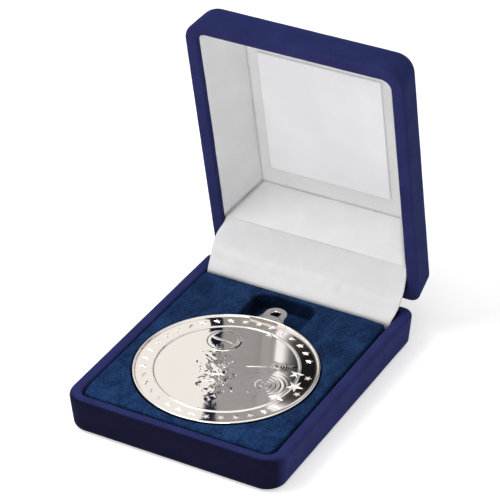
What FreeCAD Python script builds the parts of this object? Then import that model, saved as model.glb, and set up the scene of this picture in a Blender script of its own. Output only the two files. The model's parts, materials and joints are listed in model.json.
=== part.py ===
"""Silver prize medal lying in its hinged velvet presentation case, lid open.

Units are millimetres. X is the case's width, -Y is its front, +Y is the hinge
side and +Z is up. The origin is the centre of the case's underside. The lid is
modelled closed, then swung open about the hinge pin.
"""

import FreeCAD, Part
import math
import os

Vector = FreeCAD.Vector

# ---- Driving dimensions ----------------------------------------------------

CASE_HALF_WIDTH = 45.2
CASE_FRONT = -55.0
CASE_BACK = 57.3
FRONT_CORNER_R = 9.0
BACK_CORNER_R = 4.6
OUTSIDE_CORNERS = (6.0, 4.0)    # tightest front and back corner outside
CAVITY_CORNERS = (1.5, 1.0)     # tightest front and back corner inside

CLOTH = 0.7             # velvet with its glue line
RIM_WIDTH = 4.8         # over the cloth on both sides
RIM_R = 1.0             # rounding of the rim's outer and inner edge

BASE_HEIGHT = 14.4
BASE_DRAFT = 1.5        # how far the base's foot stands in from its rim
BASE_FOOT_R = 2.3
BASE_FLOOR = 2.3        # top of the base shell's floor
CAVITY_DRAFT = 0.6      # how far the cavity narrows from rim to floor
PANEL_MARGIN = 6.0      # velvet turned under the base, around the foot panel
PANEL_GAP = 0.2         # between that velvet and the panel
PANEL_CORNER_R = 3.0

LID_RIM_WIDTH = 5.2
LID_DEPTH = 20.5
LID_SHOULDER = 13.3     # depth of the straight part of the lid's wall
LID_DRAFT = 1.7
LID_CROWN_INSET = 9.5   # how far the flat top stands in from the rim
LID_SHOULDER_R = 6.0
LID_CROWN_R = 5.0
LID_ROOF = 2.0          # thickness of the lid's flat top, with its cloth
LID_CAVITY_WAIST = 7.0  # height above the roof at which the cavity's corner ends
LID_WAIST_INSET = 1.4   # how far the cavity narrows from rim to waist
LID_FLOOR_INSET = 6.5   # and from rim to roof
CLOSED_GAP = 0.3        # between the two rims when the lid is shut
OPEN_ANGLE = 79.2       # the lid's angle from shut, as modelled

HINGE_Y = 58.9
HINGE_Z = 13.0
PIN_R = 0.7
PIN_CLEARANCE = 0.05
PIN_HEAD = 0.7          # thickness of the pin's flattened ends
PIN_HEAD_FLARE = 0.45
KNUCKLE_R = 1.4
LEAF = 0.6              # hinge sheet thickness
LEAF_GAP = 0.2          # round a leaf in its recess
TONGUE_SLOT_GAP = 0.1   # round a tongue in its slot through the cloth
BASE_KNUCKLES = ((-33.0, -25.0), (-5.0, 5.0), (25.0, 33.0))
LID_KNUCKLES = ((-19.0, -5.3), (5.3, 19.0))
SPRING_SPANS = ((-24.7, -19.3), (19.3, 24.7))
SPRING_WIRE_R = 0.28
SPRING_COIL_R = 1.1
SPRING_PITCH = 0.75
SPRING_LEG_GAP = 0.1
SPRING_END_TURN = 0.75  # part turn left off, so that the legs point apart
SPRING_LID_LEG = 1.5
LEAF_HALF_WIDTH = 34.0
LEAF_Y = 54.3           # front face of both hinge leaves, inside the back walls
TONGUE_GAP = 0.3        # between a base tongue's end and the pin
BASE_LEAF_FOOT = 4.2
LID_TONGUE_DEPTH = 1.9  # from the lid's rim to its leaf's tongues
LID_LEAF_DEPTH = 9.6    # from the lid's rim to its leaf's far edge
RIVET_R = 0.9
RIVET_HOLE_DEPTH = 8.0  # from the case's back
RIVET_HEAD_R = 1.6
RIVET_HEAD = 0.4
RIVET_XS = (-29.0, -12.0, 12.0, 29.0)
BASE_RIVET_Z = 8.0
BASE_SEAT_INSET = 0.3   # how far the base's cavity wall has leaned in at its rivets
LID_RIVET_DEPTH = 6.2
LID_SEAT_INSET = 0.6
SEAT_GAP = 0.1          # round a rivet's tail in its seat
SEAT_REACH = 3.0

INSERT_HALF_WIDTH = 39.4
INSERT_FRONT = -49.0
INSERT_BACK = 43.6
INSERT_TOP = 13.8
INSERT_CORNER_R = 3.4
INSERT_CARD = 0.8
VELOUR = 0.5
RECESS_GAP = 0.45       # around the medal
NOTCH_HALF_WIDTH = 13.0
NOTCH_START = 22.6      # from the medal's centre
NOTCH_REACH = 50.6
NOTCH_FLOOR = 7.2
NOTCH_CORNER_R = 5.0
LIP_R = 0.9             # soft edges of the insert

MEDAL_R = 35.0
MEDAL_X = -0.7
MEDAL_Y = -9.8
MEDAL_TURN = 0.6        # degrees, of the medal and its bed
MEDAL_BOTTOM = 11.0
MEDAL_FIELD = 13.5      # height of the plain field
MEDAL_TOP = 14.2        # height of the rim
MEDAL_RIM_WIDTH = 1.3
RIM_STEP = 0.001        # keeps the rim's outer face just inside the disc's
MEDAL_EDGE_R = 0.4      # rounding of the disc's lower edge
RELIEF_ROOT = 0.1       # depth to which raised work is sunk in the field
RING_R = 27.8
RING_WIDTH = 0.8
RING_HEIGHT = 0.45
BORDER_STARS = 36
BORDER_R = 31.0
BORDER_STAR_R = 1.45
BIG_STARS = (           # bearing, distance from the centre, radius
    (-17.0, 26.4, 3.0),
    (2.5, 28.0, 3.4),
    (18.5, 26.4, 2.9),
    (80.0, 27.3, 2.5),
)
BIG_STAR_DROP = 0.15    # below the rim
STAR_GAP = 0.4          # kept between stars
STAR_WAIST = 0.42       # inner corners, as a share of a star's radius
SUN_R = 6.0
SUN_BEARING = 126.0
SUN_REACH = 17.9
LUG_REACH = 39.2        # from the disc's centre to the hole's
LUG_HOLE_R = 1.95
LUG_R = 4.5
LUG_NECK_R = 5.0
LUG_BOTTOM = 11.5
LUG_TOP = 13.9

CEILING_DEPTH = 18.0    # of the satin ceiling below the lid's rim
CEILING_HALF_WIDTH = 31.0
CEILING_FRONT = -42.3
CEILING_BACK = 33.7
LINER = 1.0             # satin over card
LINER_START = 1.9       # depth at which the wall liners begin
LINER_RIM_HALF_WIDTH = 39.6
LINER_RIM_FRONT = -49.4
LINER_RIM_BACK = 41.5
LINER_CORNER_R = 4.0    # front corners at the rim
LINER_BACK_R = 1.0
LINER_FOLD_R = 1.5      # corners at the ceiling
DISPLAY_X = 0.6
DISPLAY_HALF_WIDTH = 25.9
DISPLAY_FRONT = -32.8
DISPLAY_BACK = 24.2
DISPLAY_THICKNESS = 0.9
DISPLAY_CORNER_R = 0.8

STRIP_HALF_WIDTH = 39.0
STRIP = 0.4             # satin hinge cloth
STRIP_PATH = (          # its centre line: y, z
    (45.4, 8.6),
    (45.5, 14.0),
    (48.6, 16.6),
    (53.4, 18.9),
    (56.6, 23.6),
    (57.6, 29.8),
)
STRIP_STEPS = 24        # flat facets along it

FAR = 200.0             # larger than the whole case
OVERSHOOT = 5.0         # how far a cutting shape stands past what it cuts
EPS = 0.01

LID_RIM_Z = BASE_HEIGHT + CLOSED_GAP
LID_TONGUE_Z = LID_RIM_Z + LID_TONGUE_DEPTH
LID_LEAF_HEAD = LID_RIM_Z + LID_LEAF_DEPTH
LID_RIVET_Z = LID_RIM_Z + LID_RIVET_DEPTH
HINGE_POINT = Vector(0, HINGE_Y, HINGE_Z)
X_AXIS = Vector(1, 0, 0)
Y_AXIS = Vector(0, 1, 0)
Z_AXIS = Vector(0, 0, 1)


# ---- Helpers ---------------------------------------------------------------

def box(x0, x1, y0, y1, z0, z1):
    return Part.makeBox(x1 - x0, y1 - y0, z1 - z0, Vector(x0, y0, z0))


def plate_wire(half_width, front, back, r_front, r_back, z):
    """Rectangle with rounded corners, at height z."""
    corners = (
        (half_width - r_back, back - r_back, r_back, 0.0),
        (r_back - half_width, back - r_back, r_back, 90.0),
        (r_front - half_width, front + r_front, r_front, 180.0),
        (half_width - r_front, front + r_front, r_front, 270.0),
    )
    arcs = []
    for x, y, radius, start in corners:
        circle = Part.Circle(Vector(x, y, z), Z_AXIS, radius)
        arcs.append(circle.toShape(math.radians(start), math.radians(start + 90.0)))
    edges = []
    for index, arc in enumerate(arcs):
        following = arcs[(index + 1) % len(arcs)]
        edges.append(arc)
        edges.append(Part.LineSegment(arc.lastVertex().Point, following.firstVertex().Point).toShape())
    return Part.Wire(edges)


def case_wire(inset, z, least_corners):
    """The case's outline, moved inwards by inset, with corners no tighter than given."""
    least_front, least_back = least_corners
    return plate_wire(
        CASE_HALF_WIDTH - inset,
        CASE_FRONT + inset,
        CASE_BACK - inset,
        max(FRONT_CORNER_R - inset, least_front),
        max(BACK_CORNER_R - inset, least_back),
        z,
    )


def case_block(levels, least_corners):
    """Solid through the case's outline at each (z, inset)."""
    wires = [case_wire(inset, z, least_corners) for z, inset in levels]
    return Part.makeLoft(wires, True, True)


def plate(half_width, front, back, radius, z0, z1):
    """Flat plate with four equal corners."""
    wire = plate_wire(half_width, front, back, radius, radius, z0)
    return Part.Face(wire).extrude(Vector(0, 0, z1 - z0))


def edges_at(shape, z):
    """Edges that lie flat at height z."""
    return [
        edge for edge in shape.Edges
        if abs(edge.BoundBox.ZMin - z) < EPS and abs(edge.BoundBox.ZMax - z) < EPS
    ]


def skinned(levels, skin):
    """The (z, inset) profile moved inwards by skin, measured square to each slope."""
    lines = []
    for (z_a, inset_a), (z_b, inset_b) in zip(levels, levels[1:]):
        slope = (inset_b - inset_a) / (z_b - z_a)
        start = inset_a - slope * z_a + skin * math.hypot(1.0, slope)
        lines.append((slope, start))
    heights = [levels[0][0] + max(skin, 0.0)]
    for (slope_a, start_a), (slope_b, start_b) in zip(lines, lines[1:]):
        heights.append((start_b - start_a) / (slope_a - slope_b))
    heights.append(levels[-1][0] - skin)
    line_at = [lines[0]] + lines
    return [(z, slope * z + start) for z, (slope, start) in zip(heights, line_at)]


def tray(outside, cavity, skin, roundings):
    """Open box from its outside and cavity profiles, thinned by skin all round.

    roundings gives a radius for each outside edge loop below the rim.
    """
    outer_levels = skinned(outside, skin)
    block = case_block(outer_levels, OUTSIDE_CORNERS)
    for (z, _), radius in zip(outer_levels, roundings):
        block = block.makeFillet(radius - skin, edges_at(block, z))
    (z_floor, _), (z_rim, _) = cavity[0], cavity[-1]
    grown = skinned(cavity, -skin)
    grown[0] = (z_floor, grown[0][1])
    slope = (grown[-1][1] - grown[-2][1]) / (grown[-1][0] - grown[-2][0])
    above = z_rim + OVERSHOOT
    grown[-1] = (above, grown[-2][1] + slope * (above - grown[-2][0]))
    body = block.cut(case_block(grown, CAVITY_CORNERS))
    return body.makeFillet(RIM_R - skin, edges_at(body, z_rim - skin))


def fused(shapes):
    whole = shapes[0]
    for shape in shapes[1:]:
        whole = whole.fuse(shape)
    return whole.removeSplitter()


def cylinder_x(radius, x0, x1, y, z):
    return Part.makeCylinder(radius, x1 - x0, Vector(x0, y, z), X_AXIS)


def cylinder_y(radius, x, y0, y1, z):
    return Part.makeCylinder(radius, y1 - y0, Vector(x, y0, z), Y_AXIS)


def turned_over(shape):
    """Turn a rim-up lid over and set its rim just above the base's."""
    turned = shape.copy()
    turned.rotate(Vector(0, 0, 0), Y_AXIS, 180.0)
    turned.translate(Vector(0, 0, LID_RIM_Z + LID_DEPTH))
    return turned


def opened(shape):
    """Swing a closed lid part to the open position."""
    swung = shape.copy()
    swung.rotate(HINGE_POINT, X_AXIS, -OPEN_ANGLE)
    return swung


# ---- Profiles of the two halves of the case --------------------------------

BASE_OUTSIDE = [(0.0, BASE_DRAFT), (BASE_HEIGHT, 0.0)]
BASE_CAVITY = [(BASE_FLOOR, RIM_WIDTH + CAVITY_DRAFT), (BASE_HEIGHT, RIM_WIDTH)]
LID_OUTSIDE = [
    (0.0, LID_CROWN_INSET),
    (LID_DEPTH - LID_SHOULDER, LID_DRAFT),
    (LID_DEPTH, 0.0),
]
LID_CAVITY = [
    (LID_ROOF, LID_RIM_WIDTH + LID_FLOOR_INSET),
    (LID_ROOF + LID_CAVITY_WAIST, LID_RIM_WIDTH + LID_WAIST_INSET),
    (LID_DEPTH, LID_RIM_WIDTH),
]


def base_tray(skin):
    return tray(BASE_OUTSIDE, BASE_CAVITY, skin, [BASE_FOOT_R])


def lid_tray(skin):
    return tray(LID_OUTSIDE, LID_CAVITY, skin, [LID_CROWN_R, LID_SHOULDER_R])


# ---- Hinge -----------------------------------------------------------------

def knuckles(spans, bore_r):
    """Rolled barrels of one hinge leaf."""
    barrels = []
    for x0, x1 in spans:
        outer = cylinder_x(KNUCKLE_R, x0, x1, HINGE_Y, HINGE_Z)
        barrels.append(outer.cut(cylinder_x(bore_r, x0 - 1, x1 + 1, HINGE_Y, HINGE_Z)))
    return barrels


def pin_bore():
    return cylinder_x(PIN_R + PIN_CLEARANCE, -FAR, FAR, HINGE_Y, HINGE_Z)


def base_tongues(grow):
    """Flat tongues from the base leaf out to its barrels."""
    z0 = HINGE_Z - LEAF / 2
    return [
        box(x0 - grow, x1 + grow, LEAF_Y, HINGE_Y - PIN_R - TONGUE_GAP, z0 - grow, z0 + LEAF + grow)
        for x0, x1 in BASE_KNUCKLES
    ]


def lid_tongues(grow):
    """Flat tongues through the lid's cloth, above the base's rim."""
    return [
        box(x0 - grow, x1 + grow, LEAF_Y, HINGE_Y - KNUCKLE_R + LEAF,
            LID_TONGUE_Z - grow, LID_TONGUE_Z + LEAF + grow)
        for x0, x1 in LID_KNUCKLES
    ]


def rivet_holes(z):
    inner_end = CASE_BACK - RIVET_HOLE_DEPTH
    return [cylinder_y(RIVET_R, x, inner_end, CASE_BACK, z) for x in RIVET_XS]


def base_leaf():
    back_plate = box(-LEAF_HALF_WIDTH, LEAF_HALF_WIDTH, LEAF_Y, LEAF_Y + LEAF,
                     BASE_LEAF_FOOT, HINGE_Z + LEAF / 2)
    leaf = fused([back_plate] + base_tongues(0.0) + knuckles(BASE_KNUCKLES, PIN_R + PIN_CLEARANCE))
    leaf = leaf.cut(pin_bore())
    for hole in rivet_holes(BASE_RIVET_Z):
        leaf = leaf.cut(hole)
    return leaf


def lid_leaf():
    pieces = [box(-LEAF_HALF_WIDTH, LEAF_HALF_WIDTH, LEAF_Y, LEAF_Y + LEAF,
                  LID_TONGUE_Z, LID_LEAF_HEAD)]
    pieces += lid_tongues(0.0)
    for x0, x1 in LID_KNUCKLES:
        riser_y = HINGE_Y - KNUCKLE_R
        pieces.append(box(x0, x1, riser_y, riser_y + LEAF, HINGE_Z, LID_TONGUE_Z + LEAF))
    leaf = fused(pieces + knuckles(LID_KNUCKLES, PIN_R + PIN_CLEARANCE))
    leaf = leaf.cut(pin_bore())
    for hole in rivet_holes(LID_RIVET_Z):
        leaf = leaf.cut(hole)
    return leaf


def hinge_pin():
    """Straight pin with a flattened head beyond each end barrel."""
    x0 = BASE_KNUCKLES[0][0] - SPRING_LEG_GAP
    x1 = BASE_KNUCKLES[-1][1] + SPRING_LEG_GAP
    shaft = cylinder_x(PIN_R, x0, x1, HINGE_Y, HINGE_Z)
    heads = [
        cylinder_x(PIN_R + PIN_HEAD_FLARE, x0 - PIN_HEAD, x0, HINGE_Y, HINGE_Z),
        cylinder_x(PIN_R + PIN_HEAD_FLARE, x1, x1 + PIN_HEAD, HINGE_Y, HINGE_Z),
    ]
    return fused([shaft] + heads)


def hinge_spring(x0, x1):
    """Close-wound torsion spring round the pin: one leg bears on each half of the case."""
    room = x1 - x0 - 2 * SPRING_WIRE_R
    turns = math.floor(room / SPRING_PITCH) - SPRING_END_TURN
    length = turns * SPRING_PITCH
    helix = Part.makeLongHelix(SPRING_PITCH, length, SPRING_COIL_R)
    section = Part.Wire(Part.Circle(Vector(SPRING_COIL_R, 0, 0), Y_AXIS, SPRING_WIRE_R).toShape())
    coil = Part.Wire(helix.Edges).makePipeShell([section], True, True)
    coil.rotate(Vector(0, 0, 0), Y_AXIS, 90.0)
    start_x = (x0 + x1 - length) / 2
    coil.translate(Vector(start_x, HINGE_Y, HINGE_Z))
    base_reach = HINGE_Y - CASE_BACK - SPRING_LEG_GAP
    base_foot = Vector(start_x, HINGE_Y - base_reach, HINGE_Z - SPRING_COIL_R)
    base_leg = Part.makeCylinder(SPRING_WIRE_R, base_reach, base_foot, Y_AXIS)
    lid_foot = Vector(start_x + length, HINGE_Y + SPRING_COIL_R, HINGE_Z)
    lid_leg = Part.makeCylinder(SPRING_WIRE_R, SPRING_LID_LEG, lid_foot, Z_AXIS)
    return coil.fuse(base_leg).fuse(lid_leg)


def rivet_seats(z, y_inside):
    """Room for the rivets' tails, open towards the cavity."""
    return [
        cylinder_y(RIVET_HEAD_R + SEAT_GAP, x, y_inside - SEAT_REACH, y_inside, z)
        for x in RIVET_XS
    ]


def rivets(z, y_inside):
    """Round-headed rivets through a back wall and its hinge leaf."""
    group = []
    for x in RIVET_XS:
        shank = cylinder_y(RIVET_R, x, y_inside, LEAF_Y + LEAF, z)
        head = cylinder_y(RIVET_HEAD_R, x, LEAF_Y + LEAF, LEAF_Y + LEAF + RIVET_HEAD, z)
        tail = cylinder_y(RIVET_HEAD_R, x, y_inside - RIVET_HEAD, y_inside, z)
        group.append(fused([shank, head, tail]))
    return Part.makeCompound(group)


# ---- Base ------------------------------------------------------------------

def leaf_pocket(z0, z1):
    """Recess in a back wall, open to the outside, that takes a hinge leaf."""
    half = LEAF_HALF_WIDTH + LEAF_GAP
    return box(-half, half, LEAF_Y, CASE_BACK + OVERSHOOT, z0, z1)


def foot_panel_plate(margin):
    inset = BASE_DRAFT + PANEL_MARGIN - margin
    return plate(CASE_HALF_WIDTH - inset, CASE_FRONT + inset, CASE_BACK - inset,
                 PANEL_CORNER_R, 0.0, CLOTH)


def build_base():
    bare = base_tray(CLOTH)
    shell = bare.cut(leaf_pocket(BASE_LEAF_FOOT - LEAF_GAP, HINGE_Z + LEAF / 2))
    velvet = base_tray(0.0).cut(bare).cut(foot_panel_plate(PANEL_GAP))
    for tongue in base_tongues(TONGUE_SLOT_GAP):
        velvet = velvet.cut(tongue)
    inner_face = CASE_BACK - RIM_WIDTH - BASE_SEAT_INSET + CLOTH
    for seat in rivet_seats(BASE_RIVET_Z, inner_face):
        velvet = velvet.cut(seat)
        shell = shell.cut(seat)
    for hole in rivet_holes(BASE_RIVET_Z):
        shell = shell.cut(hole)
        velvet = velvet.cut(hole.common(box(-FAR, FAR, 0, LEAF_Y, 0, FAR)))
    return {
        "base_shell": shell,
        "base_velvet_cover": velvet,
        "underside_panel": foot_panel_plate(0.0),
        "hinge_leaf_base": base_leaf(),
        "hinge_rivets_base": rivets(BASE_RIVET_Z, inner_face),
    }


def laid(shape):
    """Turn and move a shape drawn round the origin to where the medal lies."""
    moved = shape.copy()
    moved.rotate(Vector(0, 0, 0), Z_AXIS, MEDAL_TURN)
    moved.translate(Vector(MEDAL_X, MEDAL_Y, 0))
    return moved


def medal_bed(skin):
    """Round bed for the disc, with a deeper notch at its lug."""
    bed_r = MEDAL_R + RECESS_GAP + skin
    bed = Part.makeCylinder(bed_r, FAR, Vector(0, 0, MEDAL_BOTTOM - skin))
    notch = plate(NOTCH_HALF_WIDTH + skin, NOTCH_START, NOTCH_REACH + skin,
                  NOTCH_CORNER_R + skin, NOTCH_FLOOR - skin, FAR)
    return laid(bed.fuse(notch))


def insert_block(skin):
    """Foam block that holds the medal."""
    bottom = BASE_FLOOR + INSERT_CARD
    block = plate(INSERT_HALF_WIDTH - skin, INSERT_FRONT + skin, INSERT_BACK - skin,
                  INSERT_CORNER_R - skin, bottom, INSERT_TOP - skin)
    block = block.cut(medal_bed(skin))
    return block.makeFillet(LIP_R - skin, edges_at(block, INSERT_TOP - skin))


def build_insert():
    foam = insert_block(VELOUR)
    card = plate(INSERT_HALF_WIDTH, INSERT_FRONT, INSERT_BACK, INSERT_CORNER_R,
                 BASE_FLOOR, BASE_FLOOR + INSERT_CARD)
    return {
        "insert_card": card,
        "insert_foam": foam,
        "insert_velour_face": insert_block(0.0).cut(foam),
    }


# ---- Medal -----------------------------------------------------------------

def ring(outer_r, width, z0, z1):
    """Upright ring round the medal's axis."""
    base = Vector(0, 0, z0)
    outer = Part.makeCylinder(outer_r, z1 - z0, base)
    return outer.cut(Part.makeCylinder(outer_r - width, z1 - z0, base))


def around(bearing, reach, z):
    """Point at a bearing and a distance from the medal's axis."""
    angle = math.radians(bearing)
    return Vector(reach * math.cos(angle), reach * math.sin(angle), z)


def star(bearing, reach, radius, z1):
    """Five-pointed star rooted in the field, one ray pointing outwards."""
    z0 = MEDAL_FIELD - RELIEF_ROOT
    centre = around(bearing, reach, z0)
    points = []
    for corner in range(10):
        ray = radius if corner % 2 == 0 else radius * STAR_WAIST
        points.append(centre + around(bearing + 36.0 * corner, ray, 0))
    return Part.Face(Part.makePolygon(points + points[:1])).extrude(Vector(0, 0, z1 - z0))


def border_stars():
    """Small stars evenly round the border, left out where a big star stands."""
    stars = []
    for index in range(BORDER_STARS):
        bearing = 360.0 / BORDER_STARS * (index + 0.5)
        place = around(bearing, BORDER_R, 0)
        clear = all(
            (place - around(at, reach, 0)).Length > radius + BORDER_STAR_R + STAR_GAP
            for at, reach, radius in BIG_STARS
        )
        if clear:
            stars.append(star(bearing, BORDER_R, BORDER_STAR_R, MEDAL_FIELD + RING_HEIGHT))
    return stars


def big_stars():
    """Larger stars that cross the inner ring."""
    return [star(*place, MEDAL_TOP - BIG_STAR_DROP) for place in BIG_STARS]


def lug():
    """Ribbon lug, blended into the edge of the disc by two hollow curves."""
    height = LUG_TOP - LUG_BOTTOM
    to_tab = LUG_R + LUG_NECK_R
    to_disc = MEDAL_R - MEDAL_EDGE_R + LUG_NECK_R
    along = (to_disc ** 2 - to_tab ** 2 + LUG_REACH ** 2) / (2 * LUG_REACH)
    aside = math.sqrt(to_disc ** 2 - along ** 2)
    outline = [
        Vector(0, MEDAL_R - 2 * LUG_R, LUG_BOTTOM),
        Vector(aside, along, LUG_BOTTOM),
        Vector(0, LUG_REACH, LUG_BOTTOM),
        Vector(-aside, along, LUG_BOTTOM),
    ]
    neck = Part.Face(Part.makePolygon(outline + outline[:1])).extrude(Vector(0, 0, height))
    for side in (-1, 1):
        hollow_at = Vector(side * aside, along, LUG_BOTTOM)
        neck = neck.cut(Part.makeCylinder(LUG_NECK_R, height, hollow_at))
    tab = Part.makeCylinder(LUG_R, height, Vector(0, LUG_REACH, LUG_BOTTOM))
    return neck.fuse(tab)


def build_medal():
    root = MEDAL_FIELD - RELIEF_ROOT
    disc = Part.makeCylinder(MEDAL_R, MEDAL_FIELD - MEDAL_BOTTOM, Vector(0, 0, MEDAL_BOTTOM))
    disc = disc.makeFillet(MEDAL_EDGE_R, edges_at(disc, MEDAL_BOTTOM))
    relief = [
        ring(MEDAL_R - RIM_STEP, MEDAL_RIM_WIDTH, root, MEDAL_TOP),
        ring(RING_R, RING_WIDTH, root, MEDAL_FIELD + RING_HEIGHT),
    ]
    sun = Part.makeCylinder(SUN_R, RING_HEIGHT + RELIEF_ROOT, around(SUN_BEARING, SUN_REACH, root))
    medal = fused([disc, lug()] + relief + border_stars() + big_stars() + [sun])
    hole = Part.makeCylinder(LUG_HOLE_R, FAR, Vector(0, LUG_REACH, 0))
    return {"medal": laid(medal.cut(hole))}


# ---- Lid -------------------------------------------------------------------

def liner_wire(depth, offset):
    """Outline of the satin walls at a depth below the lid's rim, offset outwards."""
    span = CEILING_DEPTH - LINER_START
    share = (depth - LINER_START) / span
    half = LINER_RIM_HALF_WIDTH + share * (CEILING_HALF_WIDTH - LINER_RIM_HALF_WIDTH)
    front = LINER_RIM_FRONT + share * (CEILING_FRONT - LINER_RIM_FRONT)
    back = LINER_RIM_BACK + share * (CEILING_BACK - LINER_RIM_BACK)
    radius = LINER_CORNER_R + share * (LINER_FOLD_R - LINER_CORNER_R)
    return plate_wire(half + offset, front - offset, back + offset,
                      radius, LINER_BACK_R, LID_DEPTH - depth)


def wedge(corner_a, corner_b, hub):
    """Prism from a hub point out past two corners, to pick one wall liner."""
    def beyond(corner):
        return hub + (corner - hub) * 2.0
    outline = [hub, beyond(corner_a), beyond(corner_b), hub]
    return Part.Face(Part.makePolygon(outline)).extrude(Vector(0, 0, LID_DEPTH + OVERSHOOT))


def wall_liners():
    """Four mitred, sloping panels between the lid's rim and its satin ceiling.

    They are drawn rim up, so left and right change places when the lid is turned over.
    """
    outer = Part.makeLoft([liner_wire(CEILING_DEPTH, 0.0), liner_wire(LINER_START, 0.0)], True, True)
    room = [liner_wire(CEILING_DEPTH + LINER, -LINER), liner_wire(LINER_START - LINER, -LINER)]
    inner = Part.makeLoft(room, True, True)
    walls = outer.cut(inner)
    x = LINER_RIM_HALF_WIDTH
    hub_y = (CEILING_FRONT + CEILING_BACK) / 2
    front_left = Vector(-x, LINER_RIM_FRONT, 0)
    front_right = Vector(x, LINER_RIM_FRONT, 0)
    back_left = Vector(-x, LINER_RIM_BACK, 0)
    back_right = Vector(x, LINER_RIM_BACK, 0)
    hub = Vector(0, hub_y, 0)
    return {
        "lid_liner_front": walls.common(wedge(front_left, front_right, hub)),
        "lid_liner_back": walls.common(wedge(back_right, back_left, hub)),
        "lid_liner_left": walls.common(wedge(front_right, back_right, hub)),
        "lid_liner_right": walls.common(wedge(front_left, back_left, hub)),
    }


def build_lid():
    bare = lid_tray(CLOTH)
    closed = {
        "lid_shell": turned_over(bare).cut(leaf_pocket(LID_TONGUE_Z, LID_LEAF_HEAD + LEAF_GAP)),
        "lid_velvet_cover": turned_over(lid_tray(0.0).cut(bare)),
        "hinge_leaf_lid": lid_leaf(),
    }
    for tongue in lid_tongues(TONGUE_SLOT_GAP):
        closed["lid_velvet_cover"] = closed["lid_velvet_cover"].cut(tongue)
    inner_face = CASE_BACK - LID_RIM_WIDTH - LID_SEAT_INSET + CLOTH
    for seat in rivet_seats(LID_RIVET_Z, inner_face):
        for name in ("lid_shell", "lid_velvet_cover"):
            closed[name] = closed[name].cut(seat)
    for hole in rivet_holes(LID_RIVET_Z):
        closed["lid_shell"] = closed["lid_shell"].cut(hole)
        hole_in_cloth = hole.common(box(-FAR, FAR, 0, LEAF_Y, 0, FAR))
        closed["lid_velvet_cover"] = closed["lid_velvet_cover"].cut(hole_in_cloth)
    closed["hinge_rivets_lid"] = rivets(LID_RIVET_Z, inner_face)
    for name, panel in wall_liners().items():
        closed[name] = turned_over(panel)
    ceiling = plate(CEILING_HALF_WIDTH, CEILING_FRONT, CEILING_BACK, LINER_FOLD_R,
                    LID_ROOF, LID_DEPTH - CEILING_DEPTH)
    closed["lid_ceiling_card"] = turned_over(ceiling)
    display_z = LID_DEPTH - CEILING_DEPTH
    display = plate(DISPLAY_HALF_WIDTH, DISPLAY_FRONT, DISPLAY_BACK, DISPLAY_CORNER_R,
                    display_z, display_z + DISPLAY_THICKNESS)
    display.translate(Vector(-DISPLAY_X, 0, 0))     # turning over changes the side
    closed["lid_display_panel"] = turned_over(display)
    return {name: opened(shape) for name, shape in closed.items()}


# ---- Satin hinge strip -----------------------------------------------------

def hinge_strip():
    """Cloth from behind the insert, over the back rim, up to the lid's liner."""
    points = [Vector(0, y, z) for y, z in STRIP_PATH]
    curve = Part.BSplineCurve()
    curve.interpolate(points)
    first, last = curve.FirstParameter, curve.LastParameter
    front_side = []
    back_side = []
    for step in range(STRIP_STEPS + 1):
        at = first + (last - first) * step / STRIP_STEPS
        point = curve.value(at)
        along = curve.tangent(at)[0]
        across = along.cross(X_AXIS).normalize() * (STRIP / 2)
        front_side.append(point + across)
        back_side.append(point - across)
    outline = front_side + back_side[::-1]
    face = Part.Face(Part.makePolygon(outline + outline[:1]))
    face.translate(Vector(-STRIP_HALF_WIDTH, 0, 0))
    return face.extrude(Vector(2 * STRIP_HALF_WIDTH, 0, 0))


# ---- Assembly --------------------------------------------------------------

def build_all():
    nodes = {}
    nodes.update(build_base())
    nodes.update(build_insert())
    nodes.update(build_medal())
    nodes.update(build_lid())
    nodes["hinge_pin"] = hinge_pin()
    nodes["hinge_springs"] = Part.makeCompound([hinge_spring(x0, x1) for x0, x1 in SPRING_SPANS])
    nodes["satin_hinge_strip"] = hinge_strip()
    return nodes


os.makedirs("parts", exist_ok=True)
for node, shape in build_all().items():
    shape.exportStep(f"parts/{node}.step")
    solids = len(shape.Solids)
    print(node, "solids", solids, "valid", shape.isValid(), "volume", round(shape.Volume, 1))
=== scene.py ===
"""Looks of a silver prize medal in its hinged velvet presentation case.

Lengths are millimetres in the frame's own axes until a mesh is made, and the lid is
drawn shut, where its faces are square to the axes, then swung open about the hinge.
"""
import json
import math

import bmesh
import bpy
import numpy as np
from mathutils import Matrix, Vector, noise


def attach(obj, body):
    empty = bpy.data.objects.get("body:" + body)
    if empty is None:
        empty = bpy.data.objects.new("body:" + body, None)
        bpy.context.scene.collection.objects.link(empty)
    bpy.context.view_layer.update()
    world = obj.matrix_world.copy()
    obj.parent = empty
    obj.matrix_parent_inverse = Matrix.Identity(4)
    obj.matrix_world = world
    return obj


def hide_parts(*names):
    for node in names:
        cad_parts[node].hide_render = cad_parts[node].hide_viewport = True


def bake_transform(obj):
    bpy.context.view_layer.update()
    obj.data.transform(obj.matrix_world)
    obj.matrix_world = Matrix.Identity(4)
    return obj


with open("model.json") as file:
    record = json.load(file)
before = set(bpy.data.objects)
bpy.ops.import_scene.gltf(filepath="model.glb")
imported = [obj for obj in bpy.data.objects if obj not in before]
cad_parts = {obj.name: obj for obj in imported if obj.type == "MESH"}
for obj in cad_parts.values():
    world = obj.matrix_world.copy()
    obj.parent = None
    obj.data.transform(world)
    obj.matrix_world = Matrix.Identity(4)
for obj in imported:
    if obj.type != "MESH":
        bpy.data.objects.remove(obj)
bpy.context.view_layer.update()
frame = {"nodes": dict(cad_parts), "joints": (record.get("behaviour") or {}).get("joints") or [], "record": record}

# Blender seeds its vector noise from the clock; a set seed gives the same cloth each run.
noise.seed_set(1)

MM = 0.001
NODES = frame["nodes"]
JOINTS = {joint["name"]: joint for joint in frame["joints"]}
HINGE = np.array(JOINTS["lid_hinge"]["pos_m"]) / MM
SHUT_ANGLE = math.radians(JOINTS["lid_hinge"]["range_deg"][1])


# ---- Places read from the frame --------------------------------------------

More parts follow.
